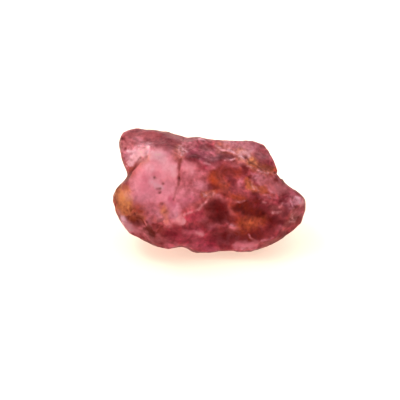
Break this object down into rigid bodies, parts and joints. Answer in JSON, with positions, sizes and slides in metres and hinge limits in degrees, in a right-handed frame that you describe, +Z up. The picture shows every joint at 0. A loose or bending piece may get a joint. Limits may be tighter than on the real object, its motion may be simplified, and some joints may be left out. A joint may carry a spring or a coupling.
{
  "type": "rough rhodolite garnet",
  "caption": "Rough, broken and water-worn piece of see-through purplish-red garnet, lying on its flattest break with a broad face tilted up.",
  "frame": {"origin": "on the resting surface, under the middle of the stone's box", "axes": "+X along the stone's length, +Z up from the resting face, and the broad worn face leans back from -Y"},
  "size_m": [0.014, 0.0076, 0.0077],
  "materials": {
    "rhodolite": "clear purplish-red garnet with orange-brown iron stain, water-worn to a frosted satin"
  },
  "bodies": {
    "root": {"garnet": "rhodolite"}
  },
  "joints": []
}
